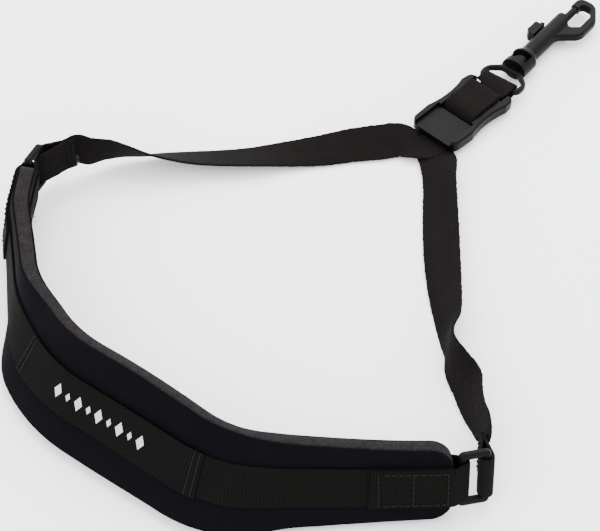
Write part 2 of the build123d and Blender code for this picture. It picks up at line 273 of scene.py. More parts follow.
def stitch_shape(long: float, wide: float, high: float) -> tuple[Array, Array]:
    """One stitch: a closed half-round bar that rises and sinks again, as a sine arch.

    Args:
        long: length along the seam.
        wide: thread width.
        high: height of its middle over the cloth.

    Returns:
        Points (normal, across, along) and quads.
    """
    rings, around = 6, 6
    t = np.linspace(0, 1, rings)
    angle = np.arange(around) / around * 2 * np.pi
    arch = high * np.sin(np.pi * t) ** 0.6 - 0.25 * wide
    swell = 0.35 + 0.65 * np.sin(np.pi * t) ** 0.5
    x = arch[:, None] + np.cos(angle) * wide / 2 * swell[:, None]
    y = np.sin(angle) * wide / 2 * swell[:, None]
    z = np.broadcast_to(((t - 0.5) * long)[:, None], x.shape)
    quads = tube_quads(rings, around)
    half = around // 2
    ends = []
    for base, turn in ((0, -1), ((rings - 1) * around, 1)):
        ring = (np.arange(around) + base)[::turn]
        ends += [[ring[0], ring[1], ring[2], ring[half]], [ring[0], ring[half], ring[4], ring[5]]]
    points = np.stack([x, y, z], -1).reshape(-1, 3)
    faces = np.concatenate([quads, np.array(ends)])
    return points, faces if signed_volume(points, faces) > 0 else faces[:, ::-1]


def lozenge_shape(long: float, wide: float, high: float) -> tuple[Array, Array]:
    """One raised lozenge of satin stitch: a prism with its top edges drawn in.

    Args:
        long: length along the band.
        wide: length across the band.
        high: height over the cloth.

    Returns:
        Points (normal, across, along) and quads.
    """
    ring = np.array([[0.0, 0.5], [0.5, 0.0], [0.0, -0.5], [-0.5, 0.0]]) * [wide, long]
    levels = ((-0.15, 1.0), (0.55 * high, 1.0), (high, 0.72))
    points = np.concatenate([np.column_stack([np.full(4, x), ring * k]) for x, k in levels])
    here = np.arange(4)
    faces = np.concatenate([tube_quads(3, 4), here[None, ::-1], here[None] + 8])
    return points, faces if signed_volume(points, faces) > 0 else faces[:, ::-1]


def right_handed(axes: Array, row: int) -> Array:
    """Axes with one of them turned over wherever the three are left-handed."""
    axes[np.linalg.det(axes) < 0, row] *= -1
    return axes


def loose_axes(random: Any, ahead: Array, spread: float, wide: Array, lengths: tuple) -> Array:
    """Axes of thread ends that stray from a direction.

    Args:
        random: seeded generator.
        ahead: the direction of each end, (n, 3).
        spread: standard deviation of the straying.
        wide: width direction of the cloth.
        lengths: least and greatest length.

    Returns:
        Directions (normal, across, along) of each, (n, 3, 3).
    """
    run = unit(ahead + random.normal(0, spread, ahead.shape))
    side = unit(np.cross(run, wide))
    longer = random.uniform(*lengths, (len(ahead), 1))
    return right_handed(np.stack([side, np.cross(run, side), run * longer], axis=1), 1)


def flat_place(x: Array, y: Array, along: Array) -> Array:
    """Place on the flat cloth of each section point: across, along, side."""
    return np.stack([y, np.broadcast_to(along[:, None], y.shape), x], -1)


STITCH = (2.3, 0.5, 0.3)  # length, thread width and height of a machine stitch, in mm


# --- materials


def srgb(code: str) -> tuple[float, float, float, float]:
    """Linear colour of an sRGB hex code."""
    parts = [int(code[i:i + 2], 16) / 255 for i in (1, 3, 5)]
    linear = [c / 12.92 if c <= 0.04045 else ((c + 0.055) / 1.055) ** 2.4 for c in parts]
    return (*linear, 1.0)


def add_node(tree: Any, kind: str, inputs: dict | None = None, **settings: Any) -> Any:
    """Adds a shader node.

    Args:
        tree: node tree.
        kind: node type without its ShaderNode prefix.
        inputs: socket name or number to a value or to a socket to link from.
        settings: attributes of the node.

    Returns:
        The node.
    """
    node = tree.nodes.new("ShaderNode" + kind)
    for key, value in settings.items():
        setattr(node, key, value)
    for key, value in (inputs or {}).items():
        if isinstance(value, bpy.types.NodeSocket):
            tree.links.new(value, node.inputs[key])
        else:
            node.inputs[key].default_value = value
    return node


class Pattern(Enum):
    """How a cloth is made."""

    TWILL = "twill webbing, chevrons of diagonal ribs"
    GROSGRAIN = "tape with ribs straight across"
    KNIT = "fine warp knit"


@dataclass(frozen=True)
class Finish:
    """Base of all finishes: a name, the surface values and the two shades it varies between."""

    name: str
    dark: str
    light: str
    roughness: float = 0.8
    specular: float = 0.3

    def start(self) -> tuple[Any, Any]:
        """A new material with a Principled shader.

        Returns:
            The material's node tree and its shader node.
        """
        material = bpy.data.materials.new(self.name)
        material.use_nodes = True
        tree = material.node_tree
        shader = tree.nodes["Principled BSDF"]
        shader.inputs["Roughness"].default_value = self.roughness
        shader.inputs["Specular IOR Level"].default_value = self.specular
        return tree, shader

    def shade(self, tree: Any, shader: Any, factor: Any) -> None:
        """Colours the shader between the finish's two shades by a factor socket."""
        shades = {0: factor, 6: srgb(self.dark), 7: srgb(self.light)}
        mix = add_node(tree, "Mix", shades, data_type="RGBA")
        tree.links.new(mix.outputs[2], shader.inputs["Base Color"])

    def relief(self, tree: Any, shader: Any, height: Any, depth_mm: float) -> None:
        """Bump of a depth in mm from a height socket."""
        values = {"Height": height, "Distance": depth_mm * MM, "Strength": 1.0}
        bump = add_node(tree, "Bump", values)
        tree.links.new(bump.outputs[0], shader.inputs["Normal"])


@dataclass(frozen=True)
class Cloth(Finish):
    """Woven or knitted nylon: matt, because its filaments scatter light every way.

    The pattern follows the cloth_mm attribute, so ribs run with the strap. Pitches are
    real rib spacings, drawn a little coarse so that they show at this size.
    """

    pattern: Pattern = Pattern.TWILL
    pitch: float = 1.9
    depth: float = 0.22
    stripe: float = 4.75
    slant: float = 1.1
    yarn_grain: float = 1.4
    patch_grain: float = 0.07

    def build(self) -> bpy.types.Material:
        """Makes the material.

        The height is a sine of the distance across the ribs. For twill that distance is
        along + a zigzag of across, for grosgrain it is along, and a knit is the product
        of sines both ways. Fine noise stands for the yarns.
        """
        tree, shader = self.start()
        place = add_node(tree, "Attribute", attribute_name=CLOTH)
        split = add_node(tree, "SeparateXYZ", {0: place.outputs["Vector"]})
        across, along = split.outputs[0], split.outputs[1]

        def math_node(kind: str, a: Any, b: Any = 0.0) -> Any:
            """Output of a Math node over two values or sockets."""
            return add_node(tree, "Math", {0: a, 1: b}, operation=kind).outputs[0]

        def wave(distance: Any) -> Any:
            """A sine of the distance, raised to 0..1."""
            turn = math_node("SINE", math_node("MULTIPLY", distance, 2 * math.pi / self.pitch))
            return math_node("MULTIPLY", math_node("ADD", turn, 1.0), 0.5)

        if self.pattern is Pattern.TWILL:
            zigzag = math_node("PINGPONG", math_node("ADD", across, 4 * self.stripe), self.stripe)
            weave = wave(math_node("ADD", along, math_node("MULTIPLY", zigzag, self.slant)))
        elif self.pattern is Pattern.GROSGRAIN:
            weave = wave(along)
        else:
            weave = math_node("MULTIPLY", wave(along), wave(across))

        def noise(scale: float, detail: float) -> Any:
            """Output of a noise over the flat cloth, its scale per mm."""
            inputs = {"Vector": place.outputs["Vector"], "Scale": scale, "Detail": detail}
            return add_node(tree, "TexNoise", inputs).outputs[0]

        def blend(a: Any, share_a: float, b: Any, share_b: float) -> Any:
            """Sum of two sockets in given shares."""
            return math_node(
                "ADD", math_node("MULTIPLY", a, share_a), math_node("MULTIPLY", b, share_b)
            )

        height = blend(weave, 0.75, noise(self.yarn_grain, 3.0), 0.5)
        # Colour from the rib height: painted shade in the hollows and painted light on the crests,
        # with yarn grain and random patches.
        painted_shade_and_grain = blend(height, 0.6, noise(self.patch_grain, 2.0), 0.35)
        self.shade(tree, shader, painted_shade_and_grain)
        self.relief(tree, shader, height, self.depth)
        return bpy.data.materials[self.name]


@dataclass(frozen=True)
class CellFoam(Finish):
    """Closed-cell foam, sliced: matt, with small open cells on the cut."""

    cell: float = 0.9
    pit: float = 0.25

    def build(self) -> bpy.types.Material:
        """Makes the material: pits at the middles of Voronoi cells of the real size, darkened with
        painted shade.
        """
        tree, shader = self.start()
        place = add_node(tree, "TexCoord").outputs["Object"]
        cells = add_node(tree, "TexVoronoi", {"Vector": place, "Scale": 1 / (self.cell * MM)})
        grain = add_node(tree, "TexNoise", {"Vector": place, "Scale": 0.25 / MM, "Detail": 4.0})
        # Painted shade: darker towards each cell's middle, where the bump sinks a pit, times
        # random grain.
        factors = {0: cells.outputs["Distance"], 1: grain.outputs[0]}
        painted_shade_and_grain = add_node(tree, "Math", factors, operation="MULTIPLY")
        self.shade(tree, shader, painted_shade_and_grain.outputs[0])
        self.relief(tree, shader, cells.outputs["Distance"], self.pit)
        return bpy.data.materials[self.name]


@dataclass(frozen=True)
class MouldedPlastic(Finish):
    """Injection-moulded acetal: fine spark-eroded skin, worn unevenly smooth by handling."""

    grit: float = 0.5
    depth: float = 0.03

    def build(self) -> bpy.types.Material:
        """Makes the material: grit-sized noise for relief, broad noise for handling wear."""
        tree, shader = self.start()
        place = add_node(tree, "TexCoord").outputs["Object"]
        fine = {"Vector": place, "Scale": 1 / (self.grit * MM), "Detail": 2.0}
        grit = add_node(tree, "TexNoise", fine)
        wear = add_node(tree, "TexNoise", {"Vector": place, "Scale": 0.12 / MM, "Detail": 5.0})
        self.shade(tree, shader, wear.outputs[0])
        low, high = self.roughness - 0.1, self.roughness + 0.12
        spread = {"Value": wear.outputs[0], "To Min": low, "To Max": high}
        gloss = add_node(tree, "MapRange", spread)
        tree.links.new(gloss.outputs[0], shader.inputs["Roughness"])
        self.relief(tree, shader, grit.outputs[0], self.depth)
        return bpy.data.materials[self.name]


@dataclass(frozen=True)
class SpringWire(Finish):
    """Drawn steel wire: bright, with faint draw lines."""

    def build(self) -> bpy.types.Material:
        """Makes the material."""
        tree, shader = self.start()
        shader.inputs["Metallic"].default_value = 1.0
        place = add_node(tree, "TexCoord").outputs["Object"]
        lines = add_node(tree, "TexNoise", {"Vector": place, "Scale": 1 / MM, "Detail": 2.0})
        self.shade(tree, shader, lines.outputs[0])
        return bpy.data.materials[self.name]


# Nylon twill: raised diagonal ribs, a fine matt grain.
WEBBING = Cloth(
    "nylon_webbing_twill", "#030202", "#131010", 0.9, 0.04, Pattern.TWILL, 1.7, 0.4
)
# Nylon grosgrain: dense cross ribs, a little darker.
BAND = Cloth(
    "nylon_grosgrain_band", "#030303", "#0B0B0A", 0.88, 0.03, Pattern.GROSGRAIN, 1.3, 0.15
)
# Warp-knit nylon jersey: even grain, the least glossy.
JERSEY = Cloth("nylon_jersey_knit", "#030205", "#08070A", 0.92, 0.03, Pattern.KNIT, 1.0, 0.1)
# Bonded nylon thread: twisted and waxed, catches light.
THREAD = Cloth("bonded_thread", "#060606", "#141414", 0.7, 0.1, Pattern.GROSGRAIN, 0.5, 0.1)
# Loose nylon filaments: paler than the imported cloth.
FRAY = Cloth("loose_filament", "#1E1917", "#3A3330", 0.7, 0.2, Pattern.GROSGRAIN, 0.5, 0.05)
# Pale rayon satin stitch: soft and evenly bright.
MOTIF = Cloth("pale_embroidery", "#8F9296", "#B4B7BA", 0.6, 0.3, Pattern.GROSGRAIN, 0.6, 0.15)
# Neoprene foam, knife cut: open cells, dusty and matt.
FOAM = CellFoam("neoprene_foam_cut", "#0E0C0D", "#2A2729", 0.95, 0.05)
# Black acetal, moulded: satin, its bevels catch light.
ACETAL = MouldedPlastic("moulded_acetal", "#030303", "#080809", 0.42, 0.05)
# Drawn spring steel: bright, behind the barrel window.
WIRE = SpringWire("drawn_steel_wire", "#8A8A8A", "#C8C8C8", 0.3)


@dataclass
class Wardrobe:
    """Finished materials by finish, each made once."""

    made: dict[str, bpy.types.Material] = field(default_factory=dict)

    def get(self, finish: Any) -> bpy.types.Material:
        """The finish's material, made the first time it is wanted."""
        if finish.name not in self.made:
            self.made[finish.name] = finish.build()
        return self.made[finish.name]

    def hand_in(self, piece: Any, finish: Any, slot: str, nodes: Sequence, body: str = "") -> None:
        """Dresses a finished piece and ties it to the frame.

        Args:
            piece: the object.
            finish: a finish with a build method.
            slot: material slot name, not used.
            nodes: CAD nodes it stands for.
            body: body it rides on, or empty for none.
        """
        piece.data.materials.clear()
        piece.data.materials.append(self.get(finish))
        if body:
            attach(piece, body)
        if nodes:
            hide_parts(*nodes)
        log.info("%s: %d faces", piece.name, len(piece.data.polygons))

    def redress(self, node: str, finish: Any) -> None:
        """Puts a finish on a CAD node's own slots."""
        for slot in bpy.data.objects[node].material_slots:
            slot.link = "OBJECT"
            slot.material = self.get(finish)


# --- the pad


@dataclass
class PadShape:
    """The pad's middle surface and widths, as a formula of the distance from its right end.

    Its route is straight runs joined by arcs. The heading turns at an even rate along
    an arc, so it is a line of slopes, and places are its cosine and sine added up.
    """

    corners: tuple = ((55, -150), (-43, -154), (-127.2, -94.6), (-142.4, -9.5), (-140.3, 17.9))
    radii: tuple = (55, 80, 60)
    end_width: float = 36.0
    width_gain: float = 16.0
    corner: float = 10.0
    lean_at: tuple = (0, 65, 97, 130, 205, 240, 320)
    leans: tuple = (20, 23, 37, 34, 34, 15, 9)
    thick: float = 8.0

    def __post_init__(self) -> None:
        """Works out where each run and arc starts, and tabulates the route."""
        corners = np.array(self.corners, float)
        runs = np.diff(corners, axis=0)
        lengths = np.linalg.norm(runs, axis=1)
        headings = np.unwrap(np.arctan2(runs[:, 1], runs[:, 0]))
        turns = np.diff(headings)
        radii = np.array(self.radii, float)
        cut = radii * np.tan(np.abs(turns) / 2)
        arcs = radii * np.abs(turns)
        straights = lengths - np.concatenate([[0], cut]) - np.concatenate([cut, [0]])
        stretches = np.zeros(2 * len(runs) - 1)
        stretches[0::2], stretches[1::2] = straights, arcs
        breaks = np.concatenate([[0], np.cumsum(stretches)])
        turned = np.repeat(headings, 2)
        self.length = float(breaks[-1])
        self._s = np.linspace(0, self.length, 12001)
        heading = np.interp(self._s, breaks, turned)
        step = self._s[1]
        self._heading = heading
        middle = (heading[1:] + heading[:-1]) / 2
        self._x = corners[0, 0] + np.concatenate([[0], np.cumsum(np.cos(middle) * step)])
        self._y = corners[0, 1] + np.concatenate([[0], np.cumsum(np.sin(middle) * step)])

    def swell(self, s: Array) -> Array:
        """0 at the pad's ends and 1 at its middle: a squared sine."""
        return np.sin(np.pi * np.clip(s, 0, self.length) / self.length) ** 2

    def lean(self, s: Array) -> Array:
        """Lean from upright in radians, eased from value to value as 3t^2 - 2t^3."""
        at, leans = np.array(self.lean_at, float), np.array(self.leans, float)
        left = np.clip(np.searchsorted(at, s, side="right") - 1, 0, len(at) - 2)
        t = np.clip((s - at[left]) / (at[left + 1] - at[left]), 0, 1)
        return np.radians(leans[left] + (leans[left + 1] - leans[left]) * t * t * (3 - 2 * t))

    def half_width(self, s: Array) -> Array:
        """Half the width, with a quarter-round taken off each end corner."""
        from_end = np.clip(np.minimum(s, self.length - s), 0, self.corner)
        inner = np.clip(self.corner**2 - (self.corner - from_end) ** 2, 0, None)
        taken = self.corner - np.sqrt(inner)
        return (self.end_width + self.width_gain * self.swell(s)) / 2 - taken

    def track(self, s: Array, offset: float = 0.0, up: Array | float = 0.0) -> Track:
        """Section frames at distances along the pad.

        Args:
            s: distances in mm; beyond the ends the pad runs on straight.
            offset: distance outward from the middle surface.
            up: distance up the leaning face.

        Returns:
            Frames with the thickness direction outward and the width direction up.
        """
        lean = self.lean(s)
        heading = np.interp(s, self._s, self._heading)
        flat = np.zeros_like(s)
        ahead = np.stack([np.cos(heading), np.sin(heading), flat], -1)
        beyond = (s - np.clip(s, 0, self.length))[:, None]
        x, y = (np.interp(s, self._s, values) for values in (self._x, self._y))
        place = np.stack([x, y, flat], -1)
        out = np.stack([-ahead[:, 1], ahead[:, 0], flat], -1)
        lean = lean[:, None]
        full = (self.end_width + self.width_gain * self.swell(s))[:, None]
        height = full / 2 * np.cos(lean) + self.thick / 2 * np.sin(lean)
        face_out = out * np.cos(lean) + UP * np.sin(lean)
        face_up = UP * np.cos(lean) - out * np.sin(lean)
        rise = np.broadcast_to(np.asarray(up, float), s.shape)[:, None]
        origin = place + ahead * beyond + UP * height + face_out * offset + face_up * rise
        return Track(origin, face_out, face_up, s)


PAD = PadShape()


@dataclass
class RingFrame:
    """Where a webbing ring sits.

    Its near bar lies past the pad's end, tilted about the pad's direction. The ring
    then turns inward about that bar, and the webbing turns again about the far bar.
    """

    right: bool
    reach: float = 3.6
    span: float = 10.8

    def __post_init__(self) -> None:
        """Takes its directions from the pad's end and turns them."""
        end = PAD.track(np.array([0.0 if self.right else PAD.length]))
        lean_out, lean_up = end.thick[0], end.wide[0]
        ahead = np.cross(lean_out, lean_up) * (1 if self.right else -1)
        self.away = ahead if np.dot(ahead, compass(0 if self.right else 82)) > 0 else -ahead
        turn, fold, tilt = (12.0, 75.0, 0.0) if self.right else (20.0, 34.0, 7.0)
        tilt = math.radians(tilt)
        self.up = lean_up * math.cos(tilt) + lean_out * math.sin(tilt)
        self.out = lean_out * math.cos(tilt) - lean_up * math.sin(tilt)
        self.origin = end.origin[0] + self.away * self.reach
        self.along, self.side = self.turned(turn)
        self.leave, self.beside = self.turned(turn + fold)
        self.far = self.origin + self.along * self.span

    def turned(self, degrees: float) -> tuple[Array, Array]:
        """The away and out directions, turned inward."""
        turn = math.radians(degrees)
        along = self.away * math.cos(turn) - self.out * math.sin(turn)
        return along, self.away * math.sin(turn) + self.out * math.cos(turn)

    def fold(self, spots: Array) -> Array:
        """Points from pairs of distance along the leaving webbing and distance beside it."""
        return self.far + spots[:, :1] * self.leave + spots[:, 1:] * self.beside


def round_bar(centre: float, radius: float, start: float, stop: float, count: int) -> Array:
    """Pairs on an arc round a bar at (centre, 0), from one angle to another."""
    angle = np.radians(np.linspace(start, stop, count))
    return np.stack([centre + radius * np.cos(angle), radius * np.sin(angle)], -1)


@dataclass
class Strap:
    """Flat woven strap: width, thickness and how far its edges wander."""

    width: float = 19.0
    thick: float = 1.3
    edge_wave: float = 0.22
    puff: float = 0.02
    columns: int = 21

    def build(self, name: str, track: Track, seed: int) -> bpy.types.Object:
        """Makes the strap along a track.

        The edges scallop as sine waves, and the faces are crowned by a parabola.

        Args:
            name: piece name.
            track: its frames.
            seed: seed of the edge waves.

        Returns:
            The new object.
        """
        section = Section.of(self.columns)
        here = track.along
        half = np.full(len(here), self.width / 2)
        x, y = section.loop(np.full(len(here), self.thick / 2), half, 0.45)
        share = y / half[:, None]
        scallop = ripple(here, (3.1, 4.3, 9.0), seed)[:, None]
        other = ripple(here, (3.4, 4.9, 11.0), seed + 1)[:, None]
        y = y + self.edge_wave * np.abs(share) ** 6 * np.where(share > 0, scallop, other)
        x = x + self.puff * np.sign(section.side) * (1 - share**2)
        return loft(name, track.place(x, y), flat_place(x, y, here))


@dataclass
class NeckPad:
    """Foam pad with its faces, bands, anchors and stitching."""

    wardrobe: Wardrobe
    foam_half: float = 3.2
    jersey: float = 0.8
    band_low: float = 4.05
    band_thick: float = 1.2
    label: tuple = (104.0, 204.0)
    tab_right: float = 35.0
    tab_left: float = 41.0
    tab_inner: float = 26.0
    motif_at: float = 155.0
    motif_pitch: float = 5.6
    motif_size: tuple = (4.2, 7.0, 0.35)
    loose_count: int = 5
    step: float = 1.2

    def build(self) -> None:
        """Builds every piece of the pad and rides them on the yoke."""
        self.foam()
        self.faces()
        self.bands()
        self.anchors()
        self.stitching()
        self.motif()
        self.loose_threads()

    def keep(self, piece: bpy.types.Object, finish: Any, slot: str, *nodes: str) -> None:
        """Hands in a piece that rides on the yoke."""
        self.wardrobe.hand_in(piece, finish, slot, nodes, "yoke")

    def distances(self, start: float, stop: float, step: float | None = None) -> Array:
        """Even distances along the pad."""
        return np.linspace(start, stop, max(2, round((stop - start) / (step or self.step)) + 1))

    def foam(self) -> None:
        """The foam: its cut edges are crowned and slightly uneven where the knife ran."""
        s = self.distances(0, PAD.length)
        section = Section.of(9, 4)
        half = PAD.half_width(s)
        x, y = section.loop(np.full(len(s), self.foam_half), half, 0.9)
        wander = 0.18 * ripple(s, (7.0, 13.0, 31.0), 3)[:, None]
        y = y + wander * (np.abs(y) / half[:, None]) ** 8
        piece = loft("pad_foam_core", PAD.track(s).place(x, y), flat_place(x, y, s))
        self.keep(piece, FOAM, "foam", "pad_foam")

    def faces(self) -> None:
        """Both jersey faces: they swell between the sewn band and the edge.

        The swell is half a sine wave from the band's edge to the pad's edge, with slow
        ripples along it where the cloth is drawn in by the stitches.
        """
        s = self.distances(0.15, PAD.length - 0.15)
        half = PAD.half_width(s) - 0.45
        for name, sign, seed in (("pad_face_outer", 1, 11), ("pad_face_inner", -1, 12)):
            section = Section.of(41)
            x, y = section.loop(np.full(len(s), self.jersey / 2), half, 0.3)
            free = np.clip((np.abs(y) - 9.5) / (half[:, None] - 9.5), 0, 1)
            slow = 0.6 + 0.4 * ripple(s, (23.0, 41.0, 64.0), seed)[:, None]
            swell = 0.55 * np.sin(np.pi * free) * slow
            x = x * sign + sign * (self.foam_half + 0.02 + self.jersey / 2)
            x = x + sign * swell * (np.abs(x) > self.foam_half + self.jersey / 2)
            piece = loft(name, PAD.track(s).place(x, y), flat_place(x, y, s))
            node = "pad_outer_jersey" if sign > 0 else "pad_inner_jersey"
            self.keep(piece, JERSEY, "jersey", node)

    def bands(self) -> None:
        """Spine band and the wider label band over it."""
        s = self.distances(0.7, PAD.length - 0.7)
        spine = Strap(19.0, self.band_thick, 0.12, 0.1)
        track = PAD.track(s, self.band_low + self.band_thick / 2)
        piece = spine.build("spine_band_woven", track, 21)
        self.keep(piece, BAND, "band", "spine_band")
        s = self.distances(*self.label, 0.8)
        label = Strap(20.5, 0.6, 0.08, 0.1, 25)
        track = PAD.track(s, self.band_low + self.band_thick + 0.4)
        piece = label.build("label_band_woven", track, 23)
        self.keep(piece, BAND, "band", "label_band")

    def anchors(self) -> None:
        """Anchor webbing: sewn outside, round the ring's near bar, sewn inside."""
        tab_out = self.band_low + 1.5 * self.band_thick + 0.05
        tab_in = self.band_low + self.band_thick / 2
        strap = Strap(19.0, self.band_thick, 0.12, 0.1)
        for right in (True, False):
            ring = RingFrame(right)
            outer = self.distances(0.5, self.tab_right if right else self.tab_left, 3.0)[::-1]
            inner = self.distances(0.5, self.tab_inner, 3.0)
            if not right:
                outer, inner = PAD.length - outer, PAD.length - inner
            bend = round_bar(0.0, 2.75, 70, -70, 8)
            loop = ring.origin + bend[:, :1] * ring.away + bend[:, 1:] * ring.out
            outside, inside = PAD.track(outer, tab_out), PAD.track(inner, -tab_in)
            points = np.concatenate([outside.origin, loop, inside.origin])
            wide = np.concatenate([outside.wide, np.repeat(ring.up[None], 8, 0), inside.wide])
            track = spline_track(points, wide, 0.6)
            side = "right" if right else "left"
            piece = strap.build(f"{side}_anchor_strap", track, 31 + right)
            self.keep(piece, BAND, "band", f"{side}_anchor_webbing")

    def stitches(
        self, name: str, s: Array, up: Array, lift: float, across: Array, node: str
    ) -> None:
        """Stitches on the pad's outer side.

        Args:
            name: piece name.
            s: distance of each stitch along the pad.
            up: its height on the face.
            lift: height of the cloth's surface over the middle surface.
            across: true where the stitch runs across the band.
            node: CAD node it stands for.
        """
        track = PAD.track(s, lift, up)
        ahead = np.cross(track.thick, track.wide)
        run = np.where(across[:, None], track.wide, ahead)
        other = np.where(across[:, None], ahead, track.wide)
        shape, faces = stitch_shape(*STITCH)
        axes = right_handed(np.stack([track.thick, other, run], axis=1), 1)
        piece = scatter(name, shape, faces, track.origin, axes)
        self.keep(piece, THREAD, "thread", node)

    def stitching(self) -> None:
        """Box stitches on the anchors and rows at the label's ends."""
        pitch = 3.0
        lift = self.band_low + 2 * self.band_thick + 0.18
        for side in ("right", "left"):
            runs = np.arange(4.0, 31.0, pitch)
            rows = np.arange(-7.0, 7.5, 2.8)
            s = np.concatenate([np.repeat(runs, 2), np.repeat([2.6, 17.0, 31.5], len(rows))])
            up = np.concatenate([np.tile([-7.8, 7.8], len(runs)), np.tile(rows, 3)])
            across = np.arange(len(s)) >= 2 * len(runs)
            place = s if side == "right" else PAD.length - s
            node = f"{side}_anchor_stitching"
            self.stitches(f"{side}_anchor_thread", place, up, lift, across, node)
        rows = np.arange(-9.0, 9.5, 2.25)
        ends = [self.label[0] + 1.5, self.label[0] + 4.0, self.label[1] - 4.0, self.label[1] - 1.5]
        s, up = np.repeat(ends, len(rows)), np.tile(rows, len(ends))
        lift = self.band_low + self.band_thick + 0.78
        self.stitches("label_thread", s, up, lift, np.ones(len(s), bool), "label_stitching")


    def motif(self) -> None:
        """A plain row of pale lozenges sewn on the label, alternately large and small."""
        spots = self.motif_at + self.motif_pitch * np.arange(-4, 5)
        lift = self.band_low + self.band_thick + 0.78
        track = PAD.track(spots, lift, 0.0)
        ahead = np.cross(track.thick, track.wide)
        grown = np.where(np.arange(len(spots)) % 2 == 0, 1.0, 0.6)[:, None]
        axes = np.stack([track.thick, track.wide * grown, ahead * grown], axis=1)
        axes = right_handed(axes, 2)
        shape, faces = lozenge_shape(*self.motif_size)
        self.keep(scatter("label_motif", shape, faces, track.origin, axes), MOTIF, "thread")

    def loose_threads(self) -> None:
        """A few ends of thread standing off the seam by the left inner tab."""
        random = np.random.default_rng(71)
        s = PAD.length - self.tab_inner - random.uniform(6, 14, self.loose_count)
        up = random.uniform(13, 18, self.loose_count)
        track = PAD.track(s, -self.foam_half - 1.6, up)
        axes = loose_axes(random, -track.thick * 1.6, 0.8, track.wide, (0.7, 1.3))
        shape, faces = stitch_shape(4.0, 0.3, 0.5)
        piece = scatter("pad_loose_threads", shape, faces, track.origin, axes)
        self.keep(piece, FRAY, "thread")


# --- webbing routes


def leg_wide(points: Array, rolls: Array) -> Array:
    """Width directions of a leg: the level normal turned by the roll about the heading."""
    ahead = unit(np.gradient(points, axis=0))
    level = unit(np.cross(UP, ahead))
    upright = np.cross(ahead, level)
    roll = np.radians(rolls)[:, None]
    return level * np.cos(roll) + upright * np.sin(roll)


@dataclass
class SliderFrame:
    """The slider's own directions and the webbing's way through it."""

    at: tuple = (60.9, 64.9)
    heading: float = 46.0
    plate_end: float = 15.5
    saddle_start: float = 21.5
    saddle_end: float = 38.2
    saddle_top: float = 8.2
    bend: float = 3.2
    pair_low: float = 1.73

    def __post_init__(self) -> None:
        """Works out its directions."""
        self.ahead = compass(self.heading)
        self.wide = -compass(self.heading + 90)
        self.origin = np.array([*self.at, 0.0])

    def place(self, spots: Array) -> Array:
        """Points from pairs of distance along and height."""
        return self.origin + spots[:, :1] * self.ahead + spots[:, 1:] * UP

    def threaded(self, offset: float) -> Array:
        """Pairs (along, height) of one webbing layer: under the plate, up the window, over.

        Args:
            offset: the layer's height from the middle of the pair.

        Returns:
            Its stations.
        """
        rise, down = self.bend - offset, self.bend + offset
        low, under = self.pair_low, self.pair_low + offset
        # The upper layer comes in from the side, so it lies flat sooner.
        entry = -8.5 if offset > 0 else -4.0
        foot = np.array([[entry, under], [1, under], [6, under]])
        up = np.radians([0, 30, 60, 90])
        bottom = np.stack(
            [self.plate_end - 0.2 + rise * np.sin(up), low + self.bend - rise * np.cos(up)], -1
        )
        over = np.radians([90, 60, 30, 0])
        crest = self.saddle_top - 1.6
        front = np.stack(
            [self.saddle_start + 0.2 - down * np.sin(over), crest + down * np.cos(over)], -1
        )
        top = np.array([[30.0, crest + down]])
        fall = np.radians([0, -20, -40, -55])
        back = np.stack(
            [self.saddle_end - 0.2 - down * np.sin(fall), crest + down * np.cos(fall)], -1
        )
        return np.concatenate([foot, bottom, front, top, back])


